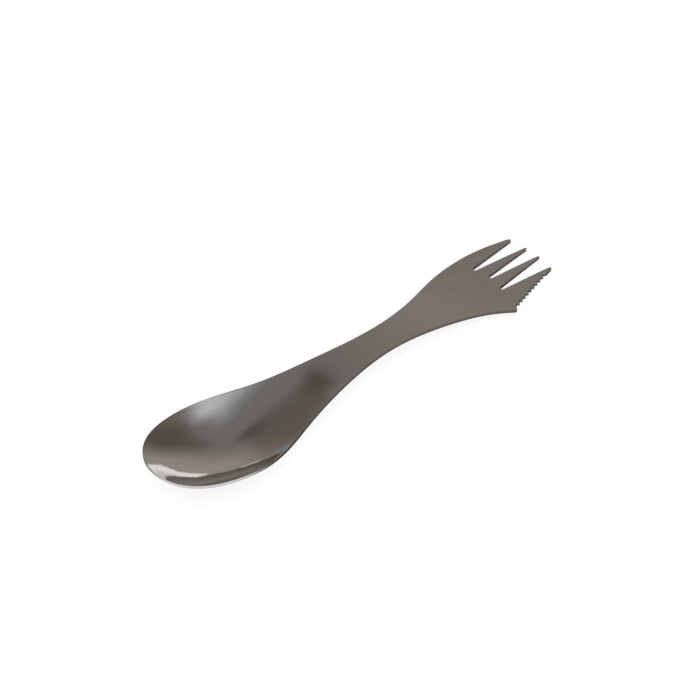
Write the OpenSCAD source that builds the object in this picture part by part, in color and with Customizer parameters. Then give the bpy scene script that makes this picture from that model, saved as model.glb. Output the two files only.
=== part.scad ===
// Camping spork: spoon bowl, flat handle and four-tined fork with a saw-tooth
// edge on its outer tine, all pressed from one piece of stainless steel sheet.
//
// Frame: +X points from the bowl to the tines and +Z points up. The serrated
// edge is on the -Y side. The origin is the centre of the footprint, at table
// height, with the spork lying hollow side up on its bowl and its tine tips.
// Every length below is in millimetres. Distances along the spork are counted
// from the bowl's tip, and are shifted to the centred frame at the very end.

/* [Sheet] */
// Length over all, from the bowl's tip to the longest tine's tip
total_l = 170; // [169:0.5:175]
// Thickness of the sheet in the bowl and the handle
sheet_t = 1; // [0.8:0.05:1.5]
// Thickness of the tines' tips, which are coined thinner than the sheet
tine_t = 0.8; // [0.6:0.05:1]

/* [Bowl] */
// Half width of the bowl at its widest place
bowl_half_w = 18.39; // [17:0.05:20]
// Depth of the dish below the bowl's rim, at its deepest place
dish_depth = 5.9; // [4:0.05:6.5]
// Where the dish runs out into the handle, from the bowl's tip
dish_l = 84; // [76:1:96]
// Steepness of the dish's side walls: 2 is a plain parabola across the bowl
dish_wall = 2.15; // [2:0.05:3]
// How gently the dish starts at the bowl's tip: 1 starts at a full slope
dish_tip = 1.12; // [1:0.01:1.3]
// Fullness of the dish towards the handle: less makes a fuller neck
dish_neck = 2.95; // [2:0.05:3.6]

/* [Handle] */
// Half width of the handle at its waist
waist_half_w = 5.83; // [5:0.01:7]
// Height of the handle's top face above the table, where it is highest
handle_h = 6.29; // [5.6:0.01:7.4]

/* [Fork] */
// Places of the slots' centre lines across the fork, left to right
slot_y = [6.65, 0.11, -6.6];
// Where each slot's round end lies, from the bowl's tip
slot_root = [146.9, 148.1, 146.7];
// Radius of the slots' round ends
slot_r = 0.6; // [0.5:0.05:1]
// Opening of each slot's sides, in millimetres a millimetre of its length
slot_taper = [0.1, 0.09, 0.106];
// Lean of each slot's centre line towards the left, beyond its round end
slot_lean = [0, 0.005, 0.012];
// Tips of the four tines, as shortfall from the total length and place across
tine_tip = [[1, 10.3], [0, 3.65], [0, -2.65], [1.4, -9.65]];
// Length of the rounded nose on a tine
nose_l = 1.5; // [1.2:0.1:2.2]
// Depth of the shallow hollow across the fork
fork_dish = 0.15; // [0:0.05:0.6]

/* [Serrated edge] */
// Number of scallops ground into the edge
scallops = 10; // [6:1:10]
// Distance from one tooth to the next, measured along the spork
tooth_pitch = 2.05; // [1.9:0.01:2.06]
// Depth of a scallop below the teeth
tooth_depth = 0.7; // [0.3:0.05:0.8]
// First tooth: its distance from the bowl's tip and from the centre line
tooth_start = [143.65, 16.9];
// Slope of the line through the teeth towards the tine's tip
tooth_slope = 0.266; // [0.255:0.001:0.275]
// Heel where the serrated edge begins: its place, distance from the centre line
heel = [142.2, 18.08];
// Radius of the heel's corner
heel_r = 0.9; // [0.6:0.05:1.1]

/* [Hidden] */

// Widest place of the bowl and waist of the handle, from the bowl's tip
widest_x = 28;
waist_x = 94;
// Slope of the outline where the right edge runs into the heel
heel_slope = 0.72;
// Last station of the right edge before the heel
flare_end_x = 138;
// The fork's hollow begins here, and the tines thin towards their tips from
// this far before the place where they part
fork_dish_x = 106;
coined_before = 10;

// Outline stations that both long edges share, as [from the tip, half width]
shared_edge = [
    [0, 0], [1.2, 6.1], [4, 10.55], [9, 14.5], [16, 17.1], [24, 18.27], [32, 18.15],
    [42, 16.07], [54, 12.32], [66, 9.5], [80, 7.1], [waist_x, waist_half_w]
];
// Further stations of the left edge, which ends on the first tine
left_flare = [
    [106, 6.3], [118, 8.5], [130, 11.8], [140, 13.45], [150, 13.75], [160, 12.65], [168, 11.05]
];
// Further stations of the right edge, which ends where the heel's corner starts
heel_start = heel - [heel_r * sin(atan(heel_slope)), heel_r * (1 - cos(atan(heel_slope)))];
right_flare = [[106, 6.35], [118, 8.2], [130, 11.4], [flare_end_x, 15.35], heel_start];

// Height of the top surface's outer edges above the table, along the spork
side_view = [
    [0, 10.65], [14, 8.9], [33, 6.22], [52, 5.46], [70, handle_h], [90, 6.27],
    [110, 5.05], [128, 3.33], [144, 2.32], [157, 1.7], [total_l, tine_t + fork_dish]
];

tines = 4;
columns = 4;          // quads across one tine's share of the width
tip_flat = 0.12;      // share of a tine's width left as the flat of its tip
end_step = 0.05;      // distance from the bowl's tip at which its end face is read
probe = 0.02;         // step used to measure the surface's slope
tooth_steps = 4;      // rows of points in one scallop

// Smooth curve through points p: a cubic spline with free ends. bends holds
// the curve's second derivative at each point, solved from both ends in turn.
function sweep(p, i = 1, rows = [[0, 0]]) =
    i == len(p) - 1 ? rows :
    let (back = p[i].x - p[i - 1].x,
         ahead = p[i + 1].x - p[i].x,
         turn = (p[i + 1].y - p[i].y) / ahead - (p[i].y - p[i - 1].y) / back,
         pivot = 2 * (back + ahead) - back * rows[i - 1][0])
    sweep(p, i + 1, concat(rows, [[ahead / pivot, (6 * turn - back * rows[i - 1][1]) / pivot]]));
function unwind(rows, i, after) =
    i == 0 ? [0] :
    let (bend = rows[i][1] - rows[i][0] * after)
    concat(unwind(rows, i - 1, bend), [bend]);
function bends(p) = concat(unwind(sweep(p), len(p) - 2, 0), [0]);
function span_of(p, x, i = 0) = i >= len(p) - 2 || x < p[i + 1].x ? i : span_of(p, x, i + 1);
function curve(p, bend, x) =
    let (i = span_of(p, x),
         width = p[i + 1].x - p[i].x,
         b = (x - p[i].x) / width,
         a = 1 - b)
    a * p[i].y + b * p[i + 1].y
    + ((a * a * a - a) * bend[i] + (b * b * b - b) * bend[i + 1]) * width * width / 6;

// The four tines have their own rows of points beyond this place, which is the
// first tooth clear of the slots' round ends
teeth_shared = ceil((max(slot_root) + slot_r - tooth_start.x) / tooth_pitch);
split_x = tooth_start.x + teeth_shared * tooth_pitch;

// The outline is smooth against the root of the distance, which rounds the
// bowl's tip the way the front of an egg is round.
function rooted(p) = [for (q = p) [sqrt(q.x), q.y]];
bowl_points = rooted(shared_edge);
bowl_bends = bends(bowl_points);
bowl_peak = max([for (x = [20 : 0.5 : 36]) curve(bowl_points, bowl_bends, sqrt(x))]);
scaled_edge = [for (q = shared_edge) q.x < 60 ? [q.x, q.y * bowl_half_w / bowl_peak] : q];
left_points = rooted(concat(scaled_edge, left_flare));
left_bends = bends(left_points);
right_points = rooted(concat(scaled_edge, right_flare));
right_bends = bends(right_points);
side_bends = bends(side_view);

// Serrated edge: a straight line of teeth with circular scallops between them
tooth_end_x = tooth_start.x + scallops * tooth_pitch;
scallop_r = tooth_pitch * tooth_pitch / (8 * tooth_depth) + tooth_depth / 2;
function tooth_line(x) = tooth_start.y - tooth_slope * (x - tooth_start.x);
function scallop(x) =
    let (from_mid = (x - tooth_start.x) % tooth_pitch - tooth_pitch / 2)
    sqrt(scallop_r * scallop_r - from_mid * from_mid) - (scallop_r - tooth_depth);
function serrated(x) = tooth_line(x) - (x < tooth_end_x ? scallop(x) : 0);

// Heel: an arc that joins the right edge to the first scallop
heel_end_x = heel.x + heel_r * sin(atan(heel_slope));
function heel_arc(x) = heel.y - heel_r + sqrt(heel_r * heel_r - (x - heel.x) * (x - heel.x));
function heel_flank(x) =
    let (t = (x - heel_end_x) / (tooth_start.x - heel_end_x))
    heel_arc(heel_end_x) * (1 - t) + tooth_start.y * t;

// Half width of the blank on its left (+Y) and right (-Y) side
function left_w(x) = curve(left_points, left_bends, sqrt(x));
function right_w(x) =
    x < heel_start.x ? curve(right_points, right_bends, sqrt(x)) :
    x < heel_end_x ? heel_arc(x) :
    x < tooth_start.x ? heel_flank(x) :
    serrated(x);

// Half width of a slot: nothing before its round end, then arc, then taper
function slot_half(k, x) =
    let (in = x - slot_root[k])
    in <= 0 ? 0 :
    in < slot_r ? sqrt(slot_r * slot_r - (slot_r - in) * (slot_r - in)) :
    slot_r + slot_taper[k] * (in - slot_r);

// Side lines of tine k (0 is the leftmost) before its nose is rounded. Short
// of the slots they run on as plain divisions of the sheet's width.
function division(k, x) =
    slot_lean[k] * max(x - slot_root[k], 0)
    + slot_y[k] * (slot_y[k] > 0 ? left_w(min(x, split_x)) / left_w(split_x)
                                 : right_w(min(x, heel_start.x)) / right_w(heel_start.x));
function upper_side(k, x) = k == 0 ? left_w(x) : division(k - 1, x) - slot_half(k - 1, x);
function lower_side(k, x) = k == tines - 1 ? -right_w(x) : division(k, x) + slot_half(k, x);

// Share of a tine's width that is left in its elliptical nose
function tip_x(k) = total_l - tine_tip[k].x;
function nose(k, x) =
    let (t = (x - tip_x(k) + nose_l) / nose_l)
    t <= 0 ? 1 : max(tip_flat, sqrt(max(0, 1 - t * t)));
function across(k, x, j) =
    let (from_tip = max(x, end_step),
         plain = upper_side(k, from_tip)
               + (lower_side(k, from_tip) - upper_side(k, from_tip)) * j / columns)
    tine_tip[k].y * (1 - nose(k, x)) + plain * nose(k, x);

// Top surface: edges at the side view's height, with the dish of the bowl and
// the faint hollow of the fork sunk between them
function dish_share(x) =
    let (u = max(0, x / dish_l)) u >= 1 ? 0 : pow(u, dish_tip) * pow(1 - u, dish_neck);
deep_x = dish_l * dish_tip / (dish_tip + dish_neck);
function dish(x) = dish_depth * dish_share(x) / dish_share(deep_x);
function ease(x, from, to) =
    let (t = min(1, max(0, (x - from) / (to - from)))) t * t * (3 - 2 * t);
function hollow(x) = fork_dish * ease(x, fork_dish_x, split_x);
function side_share(x, y) =
    min(1, abs(y) / (y > 0 ? left_w(max(x, end_step)) : right_w(min(max(x, end_step), heel.x))));
function top_z(x, y) =
    curve(side_view, side_bends, x)
    - dish(x) * (1 - pow(side_share(x, y), dish_wall))
    - hollow(x) * (1 - pow(side_share(x, y), 2));

// Under surface: the sheet's thickness below the top, measured square to it
function thickness(x) = sheet_t + (tine_t - sheet_t) * ease(x, split_x - coined_before, total_l);
function slope_x(x, y) =
    let (behind = min(x, probe)) (top_z(x + probe, y) - top_z(x - behind, y)) / (probe + behind);
function slope_y(x, y) = (top_z(x, y + probe) - top_z(x, y - probe)) / (2 * probe);
function under_z(x, y) =
    top_z(x, y) - thickness(x) * sqrt(1 + pow(slope_x(x, y), 2) + pow(slope_y(x, y), 2));

// Rows of points along the spork: close together where the outline turns
function steps(from, to, n) = [for (i = [0 : n - 1]) from + (to - from) * i / n];
function slot_rows(k) = [for (a = [0 : 22.5 : 90]) slot_root[k] + slot_r * (1 - cos(a))];
function sorted(v) =
    len(v) < 2 ? v :
    let (pivot = v[floor(len(v) / 2)])
    concat(sorted([for (x = v) if (x < pivot) x]), [pivot], sorted([for (x = v) if (x > pivot) x]));
shared_rows = sorted(concat(
    [for (i = [0 : 13]) widest_x * pow(i / 14, 2)],
    steps(widest_x, dish_l, 20),
    steps(dish_l, flare_end_x, 14),
    steps(flare_end_x, heel_start.x, 3),
    steps(heel_start.x, heel_end_x, 4),
    [heel_end_x],
    steps(tooth_start.x, split_x, tooth_steps * teeth_shared),
    slot_rows(0),
    slot_rows(1),
    slot_rows(2)
));
function nose_rows(k) = [for (a = [0 : 15 : 90]) tip_x(k) - nose_l * (1 - sin(a))];
saw_rows = steps(split_x, tooth_end_x, tooth_steps * (scallops - teeth_shared));
function own_rows(k) =
    k == tines - 1
    ? concat(saw_rows, steps(tooth_end_x, tip_x(k) - nose_l, 2), nose_rows(k))
    : concat(steps(split_x, tip_x(k) - nose_l, 6), nose_rows(k));
row_lists = [for (k = [0 : tines - 1]) concat(shared_rows, own_rows(k))];

// Points: each tine's share of the sheet is a grid, top face then under face
top_grid = [
    for (k = [0 : tines - 1]) for (x = row_lists[k]) for (j = [0 : columns])
        let (y = across(k, x, j)) [x, y, top_z(x, y)]
];
under_grid = [
    for (k = [0 : tines - 1]) for (x = row_lists[k]) for (j = [0 : columns])
        let (y = across(k, x, j)) [x, y, under_z(x, y)]
];
table_z = min([for (q = under_grid) q.z]);
grid_start = [for (k = 0, n = 0; k < tines; n = n + len(row_lists[k]) * (columns + 1), k = k + 1) n];

// Index of a top point. Where the slot above a tine hasn't opened yet, the
// tine's first column is the last column of its neighbour.
function joined(k, i) = k > 0 && row_lists[k][i] <= slot_root[k - 1];
function top(k, i, j) =
    j == 0 && joined(k, i)
    ? grid_start[k - 1] + i * (columns + 1) + columns
    : grid_start[k] + i * (columns + 1) + j;
function under(k, i, j) = top(k, i, j) + len(top_grid);
function open_above(k, i) = k == 0 || !joined(k, i + 1);
function open_below(k, i) = k == tines - 1 || !joined(k + 1, i + 1);

top_faces = [
    for (k = [0 : tines - 1]) for (i = [0 : len(row_lists[k]) - 2]) for (j = [0 : columns - 1])
        each [[top(k, i, j), top(k, i + 1, j), top(k, i + 1, j + 1)],
              [top(k, i, j), top(k, i + 1, j + 1), top(k, i, j + 1)]]
];
under_faces = [
    for (k = [0 : tines - 1]) for (i = [0 : len(row_lists[k]) - 2]) for (j = [0 : columns - 1])
        each [[under(k, i, j), under(k, i + 1, j + 1), under(k, i + 1, j)],
              [under(k, i, j), under(k, i, j + 1), under(k, i + 1, j + 1)]]
];
upper_walls = [
    for (k = [0 : tines - 1]) for (i = [0 : len(row_lists[k]) - 2]) if (open_above(k, i))
        each [[top(k, i, 0), under(k, i, 0), under(k, i + 1, 0)],
              [top(k, i, 0), under(k, i + 1, 0), top(k, i + 1, 0)]]
];
lower_walls = [
    for (k = [0 : tines - 1]) for (i = [0 : len(row_lists[k]) - 2]) if (open_below(k, i))
        each [[top(k, i, columns), under(k, i + 1, columns), under(k, i, columns)],
              [top(k, i, columns), top(k, i + 1, columns), under(k, i + 1, columns)]]
];
tine_ends = [
    for (k = [0 : tines - 1]) for (j = [0 : columns - 1])
        let (i = len(row_lists[k]) - 1)
        each [[top(k, i, j), under(k, i, j), under(k, i, j + 1)],
              [top(k, i, j), under(k, i, j + 1), top(k, i, j + 1)]]
];
bowl_end = [
    for (k = [0 : tines - 1]) for (j = [0 : columns - 1])
        each [[top(k, 0, j), under(k, 0, j + 1), under(k, 0, j)],
              [top(k, 0, j), top(k, 0, j + 1), under(k, 0, j + 1)]]
];

// The whole spork: one pressed sheet, so one solid
module spork() {
    color([0.46, 0.42, 0.39])
        translate([-total_l / 2, 0, -table_z])
            polyhedron(
                points = concat(top_grid, under_grid),
                faces = concat(top_faces, under_faces, upper_walls, lower_walls, tine_ends, bowl_end)
            );
}

spork();
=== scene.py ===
"""Looks of a one-piece camping spork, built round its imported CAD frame.

The CAD node "spork" is a plain faceted sheet. This script replaces it with a
fine mesh of the same design: the same outline, side view and dish, with the
sheet's edges rounded as tumbling leaves them, in satin stainless steel.

Design lengths are in millimetres, counted along the spork from the bowl's tip.
MM turns them into metres when the mesh is made, and the CAD node's own box says
where the mesh goes. +X runs from bowl to tines, +Z is up, the teeth are at -Y.
"""

import math

import bpy
import numpy as np
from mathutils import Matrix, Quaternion, Vector


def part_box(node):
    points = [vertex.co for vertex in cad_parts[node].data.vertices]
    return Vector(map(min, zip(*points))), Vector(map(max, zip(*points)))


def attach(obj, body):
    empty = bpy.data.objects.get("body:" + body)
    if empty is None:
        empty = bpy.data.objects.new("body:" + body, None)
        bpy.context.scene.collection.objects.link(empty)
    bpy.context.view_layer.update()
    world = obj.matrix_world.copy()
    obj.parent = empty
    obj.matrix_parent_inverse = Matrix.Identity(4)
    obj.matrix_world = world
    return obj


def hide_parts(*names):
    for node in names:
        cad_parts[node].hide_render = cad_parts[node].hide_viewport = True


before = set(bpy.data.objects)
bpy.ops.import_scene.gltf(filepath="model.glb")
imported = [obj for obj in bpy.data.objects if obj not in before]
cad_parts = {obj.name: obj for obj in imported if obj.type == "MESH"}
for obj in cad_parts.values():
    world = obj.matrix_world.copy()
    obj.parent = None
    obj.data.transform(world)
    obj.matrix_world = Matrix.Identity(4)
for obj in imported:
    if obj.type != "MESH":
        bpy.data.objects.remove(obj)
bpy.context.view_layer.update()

MM = 0.001
NODE = "spork"
BODY = "root"

# ---------------------------------------------------------------- the design
NODE_LOW, NODE_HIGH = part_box(NODE)
TOTAL_L = (NODE_HIGH.x - NODE_LOW.x) / MM
SHEET_T = 1.0           # thickness of the sheet in the bowl and the handle
TINE_T = 0.8            # thickness of the tines' tips

DISH_DEPTH = 5.9        # depth of the bowl's dish below its rim
DISH_L = 84.0           # where the dish runs out into the handle
DISH_WALL = 2.15        # steepness of the dish's side walls: 2 is a plain parabola
DISH_TIP = 1.12         # how gently the dish starts at the bowl's tip
DISH_NECK = 2.95        # how early it thins out towards the handle
FORK_DISH = 0.15        # depth of the faint hollow across the fork
FORK_DISH_X = 106.0     # where that hollow begins

# Slots and tines are listed from the +Y side
SLOT_Y = (6.65, 0.11, -6.6)            # places of the slots across the fork
SLOT_ROOT = (146.9, 148.1, 146.7)      # where each slot's round end lies
SLOT_R = 0.6                           # radius of the round ends
SLOT_TAPER = (0.1, 0.09, 0.106)        # opening of a slot's sides per millimetre
SLOT_LEAN = (0.0, 0.005, 0.012)        # lean of a slot's centre line towards +Y
# Tips of the tines, as (shortfall from the total length, place across)
TINE_TIP = ((1.0, 10.3), (0.0, 3.65), (0.0, -2.65), (1.4, -9.65))
TINES = len(TINE_TIP)
NOSE_L = 1.5            # length of a tine's rounded nose
TIP_FLAT = 0.12         # share of a tine's width left as the flat of its tip
COINED_BEFORE = 10.0    # the tines start to thin this far before they part

SCALLOPS = 10           # scallops ground into the serrated edge
TOOTH_PITCH = 2.05      # from one tooth to the next, along the spork
TOOTH_DEPTH = 0.7       # depth of a scallop below the teeth
TOOTH_START = (143.65, 16.9)           # first tooth: along, and from the centre line
TOOTH_SLOPE = 0.266     # slope of the line of teeth towards the tine's tip
HEEL = (142.2, 18.08)   # heel before the first tooth: along, and from the centre line
HEEL_R = 0.9            # radius of the heel's corner
HEEL_SLOPE = 0.72       # slope of the outline where it runs into the heel
WIDEST_X = 28.0         # widest place of the bowl
WAIST_X = 94.0          # narrowest place of the handle
FLARE_END_X = 138.0     # last station of the right edge before the heel

# Outline and side view, as (distance from the bowl's tip, half width or height)
SHARED_EDGE = (
    (0, 0), (1.2, 6.1), (4, 10.55), (9, 14.5), (16, 17.1), (24, 18.27), (32, 18.15),
    (42, 16.07), (54, 12.32), (66, 9.5), (80, 7.1), (WAIST_X, 5.83),
)
LEFT_FLARE = (
    (106, 6.3), (118, 8.5), (130, 11.8), (140, 13.45), (150, 13.75), (160, 12.65), (168, 11.05),
)
RIGHT_FLARE = ((106, 6.35), (118, 8.2), (130, 11.4), (FLARE_END_X, 15.35))
SIDE_VIEW = (
    (0, 10.65), (14, 8.9), (33, 6.22), (52, 5.46), (70, 6.29), (90, 6.27),
    (110, 5.05), (128, 3.33), (144, 2.32), (157, 1.7), (TOTAL_L, TINE_T + FORK_DISH),
)

# ---------------------------------------------------------- mesh resolution
EDGE_R = 0.17           # radius that tumbling leaves on the sheet's edges
EDGE_SHARE = 0.42       # the most of the thickness that one rounded edge may take
EDGE_OFFSETS = (0, 0.012, 0.045, 0.1, 0.18)   # first columns, in from a cut side
SIDE_COLUMNS = len(EDGE_OFFSETS)
SIDE_STRETCH = 4        # the most those columns spread where a side runs steeply
SIDE_SHARE = 0.3        # and the most of a tine's width that they take
COLUMNS = 18            # quads across one tine's share of the width
WALL_RINGS = 2          # rings of points between the top and the underside
TIP_STEP = 0.004        # where the bowl's tip is cut square, too small to see
PROBE = 0.02            # step used to measure slopes of surfaces and outlines
LEAD_IN = (7.0, 1.0)    # columns gather towards a slot over this stretch before it
BEFORE_SLOT = (0.02, 0.06, 0.11, 0.17, 0.24, 0.34, 0.5, 0.75)   # rows before its end
ROUND_OFF = 1e-6        # places along the spork closer than this are the same
TOOTH_NUDGE = 1e-9      # puts a row that lies on a tooth's point past it
NO_LENGTH = 1e-12       # keeps a side of no length from dividing by nought
BATCH = 1500            # points measured at once, to save memory


class Curve:
    """Smooth curve through points: a cubic spline with free ends."""

    def __init__(self, points):
        self.x, self.y = np.array(points, float).T
        step = np.diff(self.x)
        turn = np.diff(np.diff(self.y) / step) * 6
        system = np.diag(2 * (step[:-1] + step[1:]))
        system += np.diag(step[1:-1], 1) + np.diag(step[1:-1], -1)
        self.bend = np.concatenate(([0.0], np.linalg.solve(system, turn), [0.0]))

    def __call__(self, x):
        i = np.clip(np.searchsorted(self.x, x, side="right") - 1, 0, len(self.x) - 2)
        width = self.x[i + 1] - self.x[i]
        b = (x - self.x[i]) / width
        a = 1 - b
        bow = (a**3 - a) * self.bend[i] + (b**3 - b) * self.bend[i + 1]
        return a * self.y[i] + b * self.y[i + 1] + bow * width**2 / 6


def rooted(points):
    """The outline is smooth against the root of the distance, as an egg's front is."""
    return [(math.sqrt(x), y) for x, y in points]


HEEL_ANGLE = math.atan(HEEL_SLOPE)
HEEL_RISE = HEEL_R * math.sin(HEEL_ANGLE)
HEEL_START = (HEEL[0] - HEEL_RISE, HEEL[1] - HEEL_R * (1 - math.cos(HEEL_ANGLE)))
HEEL_END_X = HEEL[0] + HEEL_RISE
LEFT_CURVE = Curve(rooted(SHARED_EDGE + LEFT_FLARE))
RIGHT_CURVE = Curve(rooted(SHARED_EDGE + RIGHT_FLARE + (HEEL_START,)))
SIDE_CURVE = Curve(SIDE_VIEW)

TOOTH_END_X = TOOTH_START[0] + SCALLOPS * TOOTH_PITCH
SCALLOP_R = TOOTH_PITCH**2 / (8 * TOOTH_DEPTH) + TOOTH_DEPTH / 2
TEETH_SHARED = math.ceil((max(SLOT_ROOT) + SLOT_R - TOOTH_START[0]) / TOOTH_PITCH)
SPLIT_X = TOOTH_START[0] + TEETH_SHARED * TOOTH_PITCH


def left_w(x):
    return LEFT_CURVE(np.sqrt(x))


def heel_arc(x):
    return HEEL[1] - HEEL_R + np.sqrt(np.maximum(0, HEEL_R**2 - (x - HEEL[0])**2))


def serrated(x):
    """Straight line of teeth, with a circular scallop ground between each two."""
    line = TOOTH_START[1] - TOOTH_SLOPE * (x - TOOTH_START[0])
    from_mid = np.mod(x - TOOTH_START[0] + TOOTH_NUDGE, TOOTH_PITCH) - TOOTH_PITCH / 2
    scallop = np.sqrt(SCALLOP_R**2 - from_mid**2) - (SCALLOP_R - TOOTH_DEPTH)
    return line - np.where(x < TOOTH_END_X - ROUND_OFF, scallop, 0)


def right_w(x):
    x = np.asarray(x, float)
    t = (x - HEEL_END_X) / (TOOTH_START[0] - HEEL_END_X)
    flank = heel_arc(HEEL_END_X) * (1 - t) + TOOTH_START[1] * t
    return np.select(
        [x < HEEL_START[0], x < HEEL_END_X, x < TOOTH_START[0]],
        [RIGHT_CURVE(np.sqrt(x)), heel_arc(x), flank],
        serrated(x),
    )


def slot_half(k, x):
    """Half width of slot k: nothing before its round end, then arc, then taper."""
    inside = x - SLOT_ROOT[k]
    arc = np.sqrt(np.clip(SLOT_R**2 - (SLOT_R - inside)**2, 0, None))
    taper = SLOT_R + SLOT_TAPER[k] * (inside - SLOT_R)
    return np.where(inside <= 0, 0, np.where(inside < SLOT_R, arc, taper))


def division(k, x):
    """Line that becomes slot k: short of the slot it only divides the width."""
    lean = SLOT_LEAN[k] * np.maximum(x - SLOT_ROOT[k], 0)
    if SLOT_Y[k] > 0:
        return SLOT_Y[k] * left_w(np.minimum(x, SPLIT_X)) / left_w(SPLIT_X) + lean
    return SLOT_Y[k] * right_w(np.minimum(x, HEEL_START[0])) / right_w(HEEL_START[0]) + lean


def upper_side(k, x):
    return left_w(x) if k == 0 else division(k - 1, x) - slot_half(k - 1, x)


def lower_side(k, x):
    return -right_w(x) if k == TINES - 1 else division(k, x) + slot_half(k, x)


def tip_x(k):
    return TOTAL_L - TINE_TIP[k][0]


def nose(k, x):
    t = np.clip((x - tip_x(k) + NOSE_L) / NOSE_L, 0, 1)
    return np.maximum(TIP_FLAT, np.sqrt(1 - t * t))


def ease(x, start, end):
    t = np.clip((x - start) / (end - start), 0, 1)
    return t * t * (3 - 2 * t)


def dish(x):
    u = np.clip(x / DISH_L, 0, 1)
    deep = DISH_TIP / (DISH_TIP + DISH_NECK)
    return DISH_DEPTH * (u / deep)**DISH_TIP * ((1 - u) / (1 - deep))**DISH_NECK


def side_share(x, y):
    x = np.maximum(x, TIP_STEP)
    half = np.where(y > 0, left_w(x), right_w(np.minimum(x, HEEL[0])))
    return np.abs(y) / half


def top_z(x, y):
    """Height of the top surface, before its edges are rounded."""
    share = side_share(x, y)
    hollow = FORK_DISH * ease(x, FORK_DISH_X, SPLIT_X)
    return SIDE_CURVE(x) - dish(x) * (1 - share**DISH_WALL) - hollow * (1 - share**2)


def slopes(x, y):
    behind = np.minimum(x - TIP_STEP, PROBE)
    along = (top_z(x + PROBE, y) - top_z(x - behind, y)) / (PROBE + behind)
    across = (top_z(x, y + PROBE) - top_z(x, y - PROBE)) / (2 * PROBE)
    return along, across


def under_z(x, y):
    """Height of the under surface: the sheet's thickness, measured square to it."""
    along, across = slopes(x, y)
    thick = SHEET_T + (TINE_T - SHEET_T) * ease(x, SPLIT_X - COINED_BEFORE, TOTAL_L)
    return top_z(x, y) - thick * np.sqrt(1 + along**2 + across**2)


# ------------------------------------------------------------------ the mesh
# The counts of rows below only set how fine the mesh is
def steps(start, end, count):
    """Even places from start on, short of end."""
    return start + (end - start) * np.arange(count) / count


def rows_at_slot(k):
    """Rows round slot k's end: crowded before it for the rounded edge, then an arc."""
    before = SLOT_ROOT[k] - np.array(BEFORE_SLOT)
    around = SLOT_ROOT[k] + SLOT_R * (1 - np.cos(np.linspace(0, math.pi / 2, 9)))
    return np.concatenate((before, around))


def rows_of_teeth(first, last):
    """Rows that crowd towards the point of every tooth."""
    within = (1 - np.cos(np.linspace(0, math.pi, 12)[:-1])) / 2
    starts = TOOTH_START[0] + TOOTH_PITCH * np.arange(first, last)
    return (starts[:, None] + TOOTH_PITCH * within).ravel()


def shared_rows():
    """Rows that all four strips have, from the bowl's tip to where the tines part."""
    rows = np.concatenate([
        WIDEST_X * steps(0, 1, 96)**2,
        steps(WIDEST_X, DISH_L, 100),
        steps(DISH_L, FLARE_END_X, 56),
        steps(FLARE_END_X, HEEL_START[0], 9),
        steps(HEEL_START[0], HEEL_END_X, 10),
        steps(HEEL_END_X, TOOTH_START[0], 3),
        rows_of_teeth(0, TEETH_SHARED),
        [SPLIT_X],
    ] + [rows_at_slot(k) for k in range(TINES - 1)])
    return np.unique(np.round(rows, 6))


def own_rows(k):
    """Rows of tine k beyond the last shared one, down to its rounded nose."""
    nose_start = tip_x(k) - NOSE_L
    nose_rows = nose_start + NOSE_L * np.sin(np.linspace(0, math.pi / 2, 18))
    if k == TINES - 1:
        teeth = rows_of_teeth(TEETH_SHARED, SCALLOPS)
        plain = np.concatenate((teeth, steps(TOOTH_END_X, nose_start, 4)))
    else:
        plain = steps(SPLIT_X, nose_start, 36)
    return np.concatenate((plain[plain > SPLIT_X + ROUND_OFF], nose_rows))


def side_offsets(x, width, slope, openness):
    """Distances of the first columns in from a side, crowded only where it is open."""
    stretch = np.minimum(np.sqrt(1 + slope**2), SIDE_STRETCH)
    most = (width * SIDE_SHARE)[:, None] * np.array(EDGE_OFFSETS) / EDGE_OFFSETS[-1]
    crowded = np.minimum(np.outer(stretch, EDGE_OFFSETS), most)
    even = np.outer(width / COLUMNS, np.arange(SIDE_COLUMNS))
    return even + (crowded - even) * openness[:, None]


def openness_by_slot(k, x):
    """How far the columns beside slot k have gathered: 0 far before it, 1 along it."""
    return ease(x, SLOT_ROOT[k] - LEAD_IN[0], SLOT_ROOT[k] - LEAD_IN[1])


def strip_points(k, x):
    """Plan position of every point of tine k's strip, rows by columns, left to right."""
    at = np.maximum(x, TIP_STEP)
    upper, lower = upper_side(k, at), lower_side(k, at)
    width = upper - lower
    ahead, behind = at + PROBE, np.maximum(at - PROBE, TIP_STEP)
    up_slope = (upper_side(k, ahead) - upper_side(k, behind)) / (ahead - behind)
    low_slope = (lower_side(k, ahead) - lower_side(k, behind)) / (ahead - behind)
    up_open = np.ones_like(x) if k == 0 else openness_by_slot(k - 1, x)
    low_open = np.ones_like(x) if k == TINES - 1 else openness_by_slot(k, x)
    first = side_offsets(x, width, up_slope, up_open)
    last = width[:, None] - side_offsets(x, width, low_slope, low_open)[:, ::-1]
    share = np.linspace(0, 1, COLUMNS - 2 * SIDE_COLUMNS + 3)[1:-1]
    middle = first[:, -1:] + (last[:, :1] - first[:, -1:]) * share
    plain = upper[:, None] - np.hstack((first, middle, last))
    keep = nose(k, x)[:, None]
    y = TINE_TIP[k][1] * (1 - keep) + plain * keep
    return np.repeat(x[:, None], y.shape[1], axis=1), y


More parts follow.
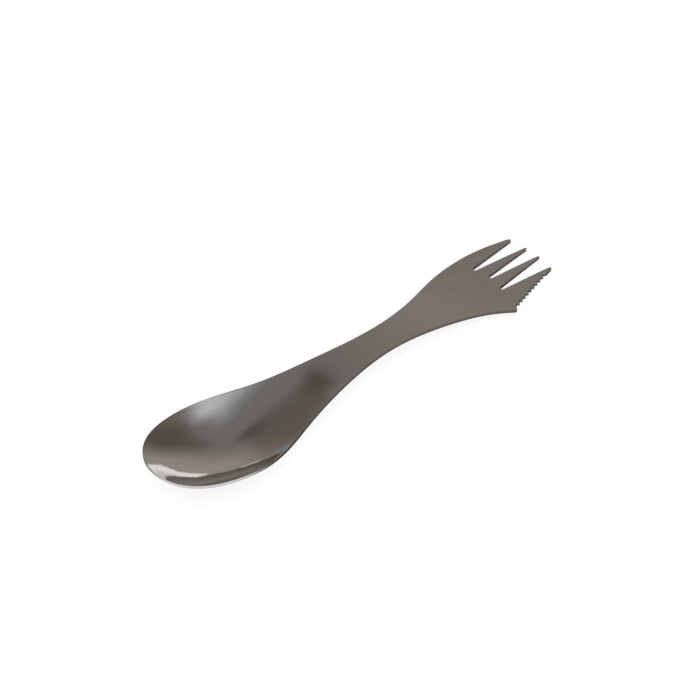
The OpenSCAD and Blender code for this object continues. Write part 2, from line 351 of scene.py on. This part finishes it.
def lay_out():
    """All plan points, each strip's grid of point numbers, and the outline loop."""
    shared = shared_rows()
    root = [int(np.argmin(np.abs(shared - x))) for x in SLOT_ROOT]
    xs, ys, grids = [], [], []
    start = 0
    for k in range(TINES):
        x, y = strip_points(k, np.concatenate((shared, own_rows(k))))
        grid = start + np.arange(x.size).reshape(x.shape)
        if k:
            grid[:root[k - 1] + 1, 0] = grids[-1][:root[k - 1] + 1, -1]
        start += x.size
        xs.append(x.ravel())
        ys.append(y.ravel())
        grids.append(grid)
    loop = []
    for k, grid in enumerate(grids):
        out_from = root[k - 1] if k else 0
        back_to = root[k] + 1 if k < TINES - 1 else 0
        loop += [*grid[out_from:, 0], *grid[-1, 1:-1], *grid[back_to:, -1][::-1]]
    for grid in grids[::-1]:
        loop += list(grid[0, :-1][::-1])
    return np.concatenate(xs), np.concatenate(ys), grids, np.array(loop[:-1])


def drop_unused(x, y, grids, loop):
    """Leave out the points that a joined strip took from its neighbour instead."""
    used = np.unique(np.concatenate([grid.ravel() for grid in grids]))
    number = np.zeros(len(x), int)
    number[used] = np.arange(len(used))
    return x[used], y[used], [number[grid] for grid in grids], number[loop]


def distance_to_loop(x, y, loop):
    """Distance of every point from the nearest stretch of the outline."""
    ax, ay = x[loop], y[loop]
    ex, ey = np.roll(ax, -1) - ax, np.roll(ay, -1) - ay
    length2 = np.maximum(ex**2 + ey**2, NO_LENGTH)
    distance = np.empty_like(x)
    for part in np.array_split(np.arange(len(x)), len(x) // BATCH + 1):
        px, py = x[part, None] - ax, y[part, None] - ay
        t = np.clip((px * ex + py * ey) / length2, 0, 1)
        distance[part] = np.sqrt(np.min((px - t * ex)**2 + (py - t * ey)**2, axis=1))
    return distance


def sheet_skin():
    """Points and faces of the whole sheet: top, underside and rounded cut edge."""
    x, y, grids, loop = drop_unused(*lay_out())
    upper, under = top_z(x, y), under_z(x, y)
    radius = np.minimum(EDGE_R, (upper - under) * EDGE_SHARE)
    inward = np.clip(radius - distance_to_loop(x, y, loop), 0, None)
    drop = radius - np.sqrt(radius**2 - inward**2)
    top = np.column_stack((x, y, upper - drop))
    bottom = np.column_stack((x, y, under + drop))
    rings = [
        top[loop] + (bottom[loop] - top[loop]) * i / (WALL_RINGS + 1)
        for i in range(1, WALL_RINGS + 1)
    ]
    points = np.vstack([top, bottom] + rings)

    faces = []
    for grid in grids:
        corners = (grid[:-1, :-1], grid[:-1, 1:], grid[1:, 1:], grid[1:, :-1])
        quads = np.stack(corners, axis=-1).reshape(-1, 4)
        faces += [quads, quads[:, ::-1] + len(x)]
    ring_numbers = [loop]
    ring_numbers += [2 * len(x) + i * len(loop) + np.arange(len(loop)) for i in range(WALL_RINGS)]
    ring_numbers += [loop + len(x)]
    for above, below in zip(ring_numbers[:-1], ring_numbers[1:]):
        faces.append(np.column_stack((above, np.roll(above, -1), np.roll(below, -1), below)))
    edge = np.concatenate([inward / radius] * 2 + [np.ones(WALL_RINGS * len(loop))])
    return points, np.vstack(faces), edge


def make_spork():
    points, faces, edge = sheet_skin()
    placed = points * MM
    placed[:, 0] += NODE_LOW.x
    placed[:, 2] += NODE_LOW.z - placed[:, 2].min()
    mesh = bpy.data.meshes.new("spork_sheet")
    mesh.from_pydata(placed.tolist(), [], faces.tolist())
    mesh.polygons.foreach_set("use_smooth", [True] * len(mesh.polygons))
    cut = mesh.attributes.new("cut", "FLOAT", "POINT")
    cut.data.foreach_set("value", edge)
    mesh.validate()
    mesh.update()
    spork = bpy.data.objects.new("spork_sheet", mesh)
    bpy.context.scene.collection.objects.link(spork)
    return spork


# -------------------------------------------------------------- node helpers
class Nodes:
    """Short hand for wiring a node tree: values may be numbers or sockets."""

    def __init__(self, tree):
        self.tree = tree
        tree.nodes.clear()

    def add(self, kind, **settings):
        node = self.tree.nodes.new(kind)
        for name, value in settings.items():
            setattr(node, name, value)
        return node

    def feed(self, socket, value):
        if isinstance(value, bpy.types.NodeSocket):
            self.tree.links.new(value, socket)
        else:
            socket.default_value = value

    def math(self, operation, a, b=0.0):
        node = self.add("ShaderNodeMath", operation=operation)
        self.feed(node.inputs[0], a)
        self.feed(node.inputs[1], b)
        return node.outputs[0]

    def ramp(self, value, low, high, to_low=0.0, to_high=1.0, smooth=True):
        kind = "SMOOTHSTEP" if smooth else "LINEAR"
        node = self.add("ShaderNodeMapRange", interpolation_type=kind)
        names = ("Value", "From Min", "From Max", "To Min", "To Max")
        for name, number in zip(names, (value, low, high, to_low, to_high)):
            self.feed(node.inputs[name], number)
        return node.outputs["Result"]

    def mix(self, share, a, b):
        node = self.add("ShaderNodeMix", data_type="RGBA")
        self.feed(node.inputs["Factor"], share)
        for name, value in (("A", a), ("B", b)):
            socket = [s for s in node.inputs if s.name == name and s.type == "RGBA"][0]
            self.feed(socket, value if isinstance(value, bpy.types.NodeSocket) else (*value, 1.0))
        return [s for s in node.outputs if s.type == "RGBA"][0]

    def noise(self, vector, scale, stretch=(1, 1, 1), detail=2.0, rough=0.5):
        mapping = self.add("ShaderNodeMapping")
        self.feed(mapping.inputs["Vector"], vector)
        mapping.inputs["Scale"].default_value = stretch
        node = self.add("ShaderNodeTexNoise")
        self.feed(node.inputs["Vector"], mapping.outputs[0])
        node.inputs["Scale"].default_value = scale
        node.inputs["Detail"].default_value = detail
        node.inputs["Roughness"].default_value = rough
        return node.outputs["Fac"]


# ----------------------------------------------------------------- materials
# Steel: each colour wanders between the two of its pair, as the metal is mottled
FACE = ((0.43, 0.415, 0.40), (0.48, 0.465, 0.45))            # the sheet's two faces
EDGE_SHADE = ((0.22, 0.205, 0.19), (0.28, 0.265, 0.245))           # the rounding of the edge, darkened as painted shade for the dark rim line it mirrors
CUT_SIDE_SHADE = ((0.10, 0.085, 0.07), (0.16, 0.14, 0.12))          # the cut side, mostly dark: painted shade for the shadowed table it mirrors
CUT_SIDE_REFLECTION = ((0.62, 0.60, 0.58), (0.70, 0.68, 0.66))      # and bright round the bowl: a painted reflection of the white table
REFLECTION_ENDS = (-0.066, -0.052)     # metres along X where the painted reflection on the cut side turns to painted shade
CUT_TINT = (0.05, 0.05, 0.05)      # keeps the cut dark at a grazing angle too, as part of its painted shade
SHEEN = (0.045, 0.075)             # roughness of the clean and of the smudged metal
GRAIN_ROUGH = 0.03                 # what the grain adds to it at most
CUT_ROUGH = 0.15                   # and what the cut side adds
EDGE_BEGINS = (0.15, 0.6)          # share of the rounding where face turns to edge
CUT_BEGINS = (0.8, 1.0)            # and where edge turns to cut side
NOISE_SPAN = (0.3, 0.7)            # middle of a noise's range, where most of it lies
MOTTLE_SCALE = 90                  # noise features to a metre, roughly
GRAIN_SCALE = 2600
SMUDGE_SCALE = 45
RIPPLE_SCALE = 260
GRAIN_DEPTH = 0.0000012            # metres
RIPPLE_DEPTH = 0.000045            # metres: the faint waviness of pressed sheet

TABLE_LIT = 0.9        # how much light the table throws back at the spork
TABLE_SEEN = 0.18      # the same for the eye, which keeps the shadow faint
TABLE_GLOW = 0.86      # and the table's own glow, which makes it white to the eye


def steel_material():
    """Satin stainless steel: mottled sheen, fine lengthwise grain, painted shade on the edge and cut
    side, and a painted reflection on the cut side round the bowl.
    """
    material = bpy.data.materials.new("steel")
    material.use_nodes = True
    n = Nodes(material.node_tree)
    place = n.add("ShaderNodeTexCoord").outputs["Object"]
    cut = n.add("ShaderNodeAttribute", attribute_name="cut").outputs["Fac"]
    along = n.add("ShaderNodeSeparateXYZ")
    n.feed(along.inputs[0], place)
    mottle = n.noise(place, MOTTLE_SCALE, detail=4, rough=0.6)
    grain = n.noise(place, GRAIN_SCALE, stretch=(0.04, 1, 1), detail=3, rough=0.6)
    smudge = n.noise(place, SMUDGE_SCALE, stretch=(0.6, 1, 1), detail=4, rough=0.6)
    ripple = n.noise(place, RIPPLE_SCALE, stretch=(0.85, 1, 1), detail=3, rough=0.55)

    face = n.mix(mottle, *FACE)
    # painted shade: the rounded edge is given a darker colour than the faces
    edge = n.mix(mottle, *EDGE_SHADE)
    # painted shade: the cut side away from the bowl is given a dark colour
    cut_shade = n.mix(mottle, *CUT_SIDE_SHADE)
    # painted reflection: the cut side round the bowl is given a bright colour, which turns to the
    # painted shade further along X
    cut_reflection = n.mix(mottle, *CUT_SIDE_REFLECTION)
    shade_along_x = n.ramp(along.outputs["X"], *REFLECTION_ENDS)
    wall = n.mix(shade_along_x, cut_reflection, cut_shade)
    colour = n.mix(n.ramp(cut, *EDGE_BEGINS), face, edge)
    colour = n.mix(n.ramp(cut, *CUT_BEGINS), colour, wall)
    grain_rough = n.ramp(grain, *NOISE_SPAN, 0.0, GRAIN_ROUGH)
    rough = n.math("ADD", n.ramp(smudge, *NOISE_SPAN, *SHEEN), grain_rough)
    rough = n.math("ADD", rough, n.math("MULTIPLY", cut, CUT_ROUGH))

    fine = n.add("ShaderNodeBump")
    fine.inputs["Strength"].default_value = 1.0
    fine.inputs["Distance"].default_value = GRAIN_DEPTH
    n.feed(fine.inputs["Height"], grain)
    bump = n.add("ShaderNodeBump")
    bump.inputs["Strength"].default_value = 1.0
    bump.inputs["Distance"].default_value = RIPPLE_DEPTH
    n.feed(bump.inputs["Height"], ripple)
    n.feed(bump.inputs["Normal"], fine.outputs[0])

    steel = n.add("ShaderNodeBsdfPrincipled")
    steel.inputs["Metallic"].default_value = 1.0
    n.feed(steel.inputs["Base Color"], colour)
    # painted shade: a dull tint on the edge and cut side keeps their painted colours from brightening
    # at a grazing angle
    n.feed(steel.inputs["Specular Tint"], n.mix(cut, (1, 1, 1), CUT_TINT))
    n.feed(steel.inputs["Roughness"], rough)
    n.feed(steel.inputs["Normal"], bump.outputs[0])
    output = n.add("ShaderNodeOutputMaterial")
    n.feed(output.inputs["Surface"], steel.outputs[0])
    return material


def table_material():
    """White table whose own glow leaves only a faint shadow under the spork."""
    material = bpy.data.materials.new("table")
    material.use_nodes = True
    n = Nodes(material.node_tree)
    lit = n.add("ShaderNodeBsdfDiffuse")
    lit.inputs["Color"].default_value = (TABLE_LIT, TABLE_LIT, TABLE_LIT, 1)
    seen = n.add("ShaderNodeBsdfDiffuse")
    seen.inputs["Color"].default_value = (TABLE_SEEN, TABLE_SEEN, TABLE_SEEN, 1)
    glow = n.add("ShaderNodeEmission")
    glow.inputs["Strength"].default_value = TABLE_GLOW
    both = n.add("ShaderNodeAddShader")
    n.feed(both.inputs[0], seen.outputs[0])
    n.feed(both.inputs[1], glow.outputs[0])
    choice = n.add("ShaderNodeMixShader")
    n.feed(choice.inputs[0], n.add("ShaderNodeLightPath").outputs["Is Camera Ray"])
    n.feed(choice.inputs[1], lit.outputs[0])
    n.feed(choice.inputs[2], both.outputs[0])
    output = n.add("ShaderNodeOutputMaterial")
    n.feed(output.inputs["Surface"], choice.outputs[0])
    return material


# ------------------------------------------------------------ room and light
ROOM_LOW = (0.305, 0.275, 0.245)      # what the metal mirrors near the table's height
ROOM_HIGH = (0.31, 0.305, 0.302)      # and overhead
ROOM_BLEND = (0.55, 0.95)             # upward part of a ray where one turns into the other
# Soft-edged panels of the room, the later ones in front: azimuth, elevation, half
# width, half height, softness of side edges and of top and bottom edges in degrees,
# then colour
PANELS = (
    ("window glow", -42, 70, 55, 4, 25, 12, (0.68, 0.71, 0.75)),
    ("window", -49, 61, 34, 11, 15, 10, (0.94, 0.99, 1.04)),
    ("window sill", -62, 20, 22, 17, 10, 8, (0.775, 0.77, 0.767)),
    ("far dark corner", 7, 34, 25, 14, 10, 8, (0.181, 0.16, 0.139)),
    ("dark doorway", 71, 34, 10, 25, 4, 8, (0.212, 0.19, 0.163)),
    ("dark lamp shade", 59.5, 51, 6, 5, 5, 5, (0.165, 0.145, 0.125)),
    ("light wall", 39, 15.5, 23, 17.5, 12, 16, (0.547, 0.505, 0.47)),
    ("white board", 37.6, -1.8, 9.2, 8.5, 1.2, 0.8, (1.42, 1.40, 1.36)),
    ("lamp foot", 59.3, 3, 2, 3, 0.8, 1.2, (0.95, 0.88, 0.81)),
    ("blue lamp", 67.2, 5, 1.3, 3, 0.8, 1.5, (0.28, 0.38, 0.42)),
    ("side window", 140, 42, 30, 14, 14, 14, (0.878, 0.88, 0.882)),
    ("back wall", -125, 24, 38, 16, 16, 16, (0.64, 0.6, 0.547)),
)
SKY_LOW = (0.6, 0.6, 0.6)           # light that the table gets from low down
SKY_HIGH = (1.6, 1.6, 1.6)          # and from overhead
TABLE_R = 3.0                       # metres
TABLE_SIDES = 96


def room_panel(n, ray, azimuth, elevation, half_width, half_height, soft_sides, soft_ends):
    """How much of a ray's colour one panel takes, from 0 to 1."""
    turn = n.add("ShaderNodeVectorRotate", rotation_type="Z_AXIS")
    n.feed(turn.inputs["Vector"], ray)
    turn.inputs["Angle"].default_value = -math.radians(azimuth)
    split = n.add("ShaderNodeSeparateXYZ")
    n.feed(split.inputs[0], turn.outputs[0])
    sideways = n.math("ABSOLUTE", n.math("ARCTAN2", split.outputs["Y"], split.outputs["X"]))
    height = n.math("SUBTRACT", n.math("ARCSINE", split.outputs["Z"]), math.radians(elevation))
    edges = []
    limits = ((sideways, half_width, soft_sides), (n.math("ABSOLUTE", height), half_height, soft_ends))
    for angle, half, soft in limits:
        edges.append(n.ramp(angle, math.radians(half + soft), math.radians(half - soft)))
    return n.math("MULTIPLY", *edges)


def light_room():
    """The metal mirrors a warm grey room; the eye sees only a white backdrop."""
    world = bpy.data.worlds.new("room")
    world.use_nodes = True
    n = Nodes(world.node_tree)
    ray = n.add("ShaderNodeTexCoord").outputs["Generated"]
    split = n.add("ShaderNodeSeparateXYZ")
    n.feed(split.inputs[0], ray)
    colour = n.mix(n.ramp(split.outputs["Z"], *ROOM_BLEND), ROOM_LOW, ROOM_HIGH)
    for _name, *place, shade in PANELS:
        colour = n.mix(room_panel(n, ray, *place), colour, shade)
    path = n.add("ShaderNodeLightPath")
    sky = n.mix(split.outputs["Z"], SKY_LOW, SKY_HIGH)
    colour = n.mix(path.outputs["Is Diffuse Ray"], colour, sky)
    colour = n.mix(path.outputs["Is Camera Ray"], colour, (1.0, 1.0, 1.0))
    background = n.add("ShaderNodeBackground")
    n.feed(background.inputs["Color"], colour)
    output = n.add("ShaderNodeOutputWorld")
    n.feed(output.inputs["Surface"], background.outputs[0])
    bpy.context.scene.world = world


def make_table():
    """A plain round table top, wide enough to pass behind the spork in every view."""
    points = [(0, 0, 0)]
    faces = []
    for i in range(TABLE_SIDES):
        angle = 2 * math.pi * i / TABLE_SIDES
        points.append((TABLE_R * math.cos(angle), TABLE_R * math.sin(angle), 0))
        faces.append((0, 1 + i, 1 + (i + 1) % TABLE_SIDES))
    mesh = bpy.data.meshes.new("table")
    mesh.from_pydata(points, [], faces)
    table = bpy.data.objects.new("table", mesh)
    bpy.context.scene.collection.objects.link(table)
    mesh.materials.append(table_material())
    return table


# -------------------------------------------------------------------- camera
CAMERA_AZ, CAMERA_EL = 43.449, 42.870     # degrees: turned from -Y towards -X, and up
CAMERA_ROLL = 0.00647                     # radians
CAMERA_DISTANCE = 0.700                   # metres from the point it looks at
CAMERA_AIM = Vector((0.001354, 0.00424, 0.004034))
CAMERA_LENS = 109.4                       # millimetres, before a sensor this wide
CAMERA_SENSOR = 36
CAMERA_NEAR = 0.01                        # metres
CAMERA_SHIFT = 0.0007                     # share of the frame's width, to the left and up


def place_camera():
    a, e = math.radians(CAMERA_AZ), math.radians(CAMERA_EL)
    back = Vector((-math.sin(a) * math.cos(e), -math.cos(a) * math.cos(e), math.sin(e)))
    camera = bpy.data.objects.new("camera", bpy.data.cameras.new("camera"))
    bpy.context.scene.collection.objects.link(camera)
    camera.location = CAMERA_AIM + back * CAMERA_DISTANCE
    camera.rotation_mode = "QUATERNION"
    camera.rotation_quaternion = back.to_track_quat("Z", "Y") @ Quaternion((0, 0, 1), CAMERA_ROLL)
    camera.data.lens = CAMERA_LENS
    camera.data.sensor_width = CAMERA_SENSOR
    camera.data.shift_x = -CAMERA_SHIFT
    camera.data.shift_y = CAMERA_SHIFT
    camera.data.clip_start = CAMERA_NEAR
    bpy.context.scene.camera = camera


spork = make_spork()
spork.data.materials.append(steel_material())
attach(spork, BODY)
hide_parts(NODE)

table = make_table()
light_room()
place_camera()
bpy.context.scene.view_settings.view_transform = "Standard"
